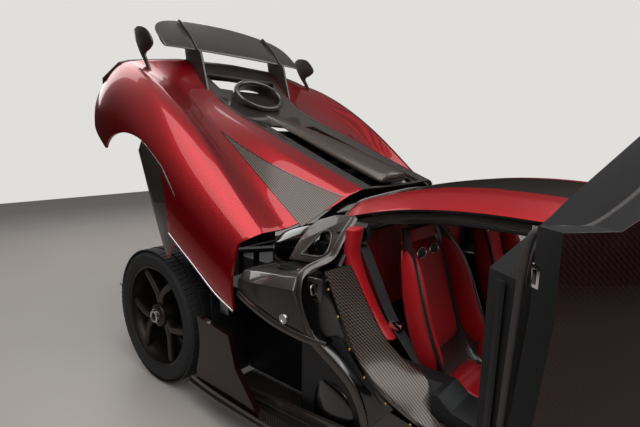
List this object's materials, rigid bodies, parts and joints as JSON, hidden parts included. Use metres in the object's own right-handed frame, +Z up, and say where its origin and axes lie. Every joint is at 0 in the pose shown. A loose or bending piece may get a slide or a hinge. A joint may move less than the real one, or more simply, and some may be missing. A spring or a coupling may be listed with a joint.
{
  "type": "supercar",
  "caption": "Two-seat mid-engined supercar with its rear body lid raised, both doors swung out and up, bare carbon and candy red panels, top-hung wing and forked-spoke wheels.",
  "frame": {"origin": "on the ground under the middle of the vehicle, both ways", "axes": "+X towards the nose, +Y towards the left side, +Z up"},
  "size_m": [4.56, 2.9656, 2.0508],
  "materials": {
    "carbon": "clear coated woven carbon fibre",
    "red_carbon": "candy red tinted clear coat over woven carbon fibre",
    "satin_black": "satin black composite",
    "red_leather": "smooth red leather, pleated in the middle",
    "glass": "clear safety glass",
    "lamp_glass": "clear lamp cover",
    "red_glass": "red lamp cover",
    "bronze": "satin dark bronze forged wheel",
    "tyre": "ribbed road tyre",
    "aluminium": "machined aluminium",
    "steel": "welded steel tube",
    "titanium": "thin walled exhaust metal",
    "cast": "cast alloy engine and gearbox"
  },
  "bodies": {
    "chassis": {"tub": "carbon", "cabin_frame": "carbon", "roof": "red_carbon", "windscreen": "glass", "seat_shells": "carbon", "seat_pads": "red_leather", "bulkhead_trim": "red_leather", "sill_covers": "carbon", "dashboard": "satin_black", "steering_wheel": "red_leather", "front_body": "red_carbon", "headlamps": "lamp_glass", "front_splitter": "carbon", "side_blades": "carbon", "quarter_panels": "red_carbon", "shoulder_ducts": "carbon", "engine": "cast", "intake_plenum": "carbon", "rear_subframe": "steel", "rear_arms": "aluminium", "front_arms": "aluminium", "exhaust": "titanium", "diffuser": "carbon", "rear_arch_liners": "satin_black"},
    "rear_lid": {"clam_skin": "red_carbon", "clam_tail": "red_carbon", "clam_spine": "satin_black", "clam_hoop": "carbon", "wing": "carbon", "wing_pylons": "carbon", "winglets": "carbon", "clam_blades": "carbon", "tail_lamps": "red_glass"},
    "luggage_lid": {"bonnet": "red_carbon"},
    "door_arm_right": {"door_arm_right": "aluminium"},
    "door_right": {"door_right": "red_carbon", "door_glass_right": "glass", "door_mirror_right": "carbon"},
    "knuckle_right": {"knuckle_right": "aluminium"},
    "wheel_front_right": {"tyre_front_right": "tyre", "rim_front_right": "bronze"},
    "wheel_rear_right": {"tyre_rear_right": "tyre", "rim_rear_right": "bronze"},
    "door_arm_left": {"door_arm_left": "aluminium"},
    "door_left": {"door_left": "red_carbon", "door_glass_left": "glass", "door_mirror_left": "carbon"},
    "knuckle_left": {"knuckle_left": "aluminium"},
    "wheel_front_left": {"tyre_front_left": "tyre", "rim_front_left": "bronze"},
    "wheel_rear_left": {"tyre_rear_left": "tyre", "rim_rear_left": "bronze"}
  },
  "joints": [
    {"name": "door_swing_right", "type": "hinge", "parent": "chassis", "child": "door_arm_right", "pos_m": [0.75, -0.78, 0.712], "axis": [0, 0, -1], "range_deg": [0, 55]},
    {"name": "door_roll_right", "type": "hinge", "parent": "door_arm_right", "child": "door_right", "pos_m": [0.54466, -1.07326, 0.712], "axis": [0.8192, -0.5736, 0], "range_deg": [0, 90]},
    {"name": "steer_right", "type": "hinge", "parent": "chassis", "child": "knuckle_right", "pos_m": [1.207, -0.665, 0.338], "axis": [0, 0, 1], "range_deg": [-30, 30]},
    {"name": "spin_front_right", "type": "hinge", "parent": "knuckle_right", "child": "wheel_front_right", "pos_m": [1.207, -0.826, 0.338], "axis": [0, 1, 0], "continuous": true},
    {"name": "spin_rear_right", "type": "hinge", "parent": "chassis", "child": "wheel_rear_right", "pos_m": [-1.455, -0.818, 0.355], "axis": [0, 1, 0], "continuous": true},
    {"name": "door_swing_left", "type": "hinge", "parent": "chassis", "child": "door_arm_left", "pos_m": [0.75, 0.78, 0.712], "axis": [0, 0, 1], "range_deg": [0, 55]},
    {"name": "door_roll_left", "type": "hinge", "parent": "door_arm_left", "child": "door_left", "pos_m": [0.54466, 1.07326, 0.712], "axis": [-0.8192, -0.5736, 0], "range_deg": [0, 90]},
    {"name": "steer_left", "type": "hinge", "parent": "chassis", "child": "knuckle_left", "pos_m": [1.207, 0.665, 0.338], "axis": [0, 0, 1], "range_deg": [-30, 30]},
    {"name": "spin_front_left", "type": "hinge", "parent": "knuckle_left", "child": "wheel_front_left", "pos_m": [1.207, 0.826, 0.338], "axis": [0, 1, 0], "continuous": true},
    {"name": "spin_rear_left", "type": "hinge", "parent": "chassis", "child": "wheel_rear_left", "pos_m": [-1.455, 0.818, 0.355], "axis": [0, 1, 0], "continuous": true},
    {"name": "rear_lid_hinge", "type": "hinge", "parent": "chassis", "child": "rear_lid", "pos_m": [-0.53, 0, 0.945], "axis": [0, -1, 0], "range_deg": [0, 30]},
    {"name": "luggage_lid_hinge", "type": "hinge", "parent": "chassis", "child": "luggage_lid", "pos_m": [1.976, 0, 0.512], "axis": [0, 1, 0], "range_deg": [0, 45]}
  ],
  "couplings": [
    {"joint": "door_roll_right", "follows": "door_swing_right", "ratio": 1.6364},
    {"joint": "door_roll_left", "follows": "door_swing_left", "ratio": 1.6364},
    {"joint": "steer_left", "follows": "steer_right", "ratio": 1}
  ]
}
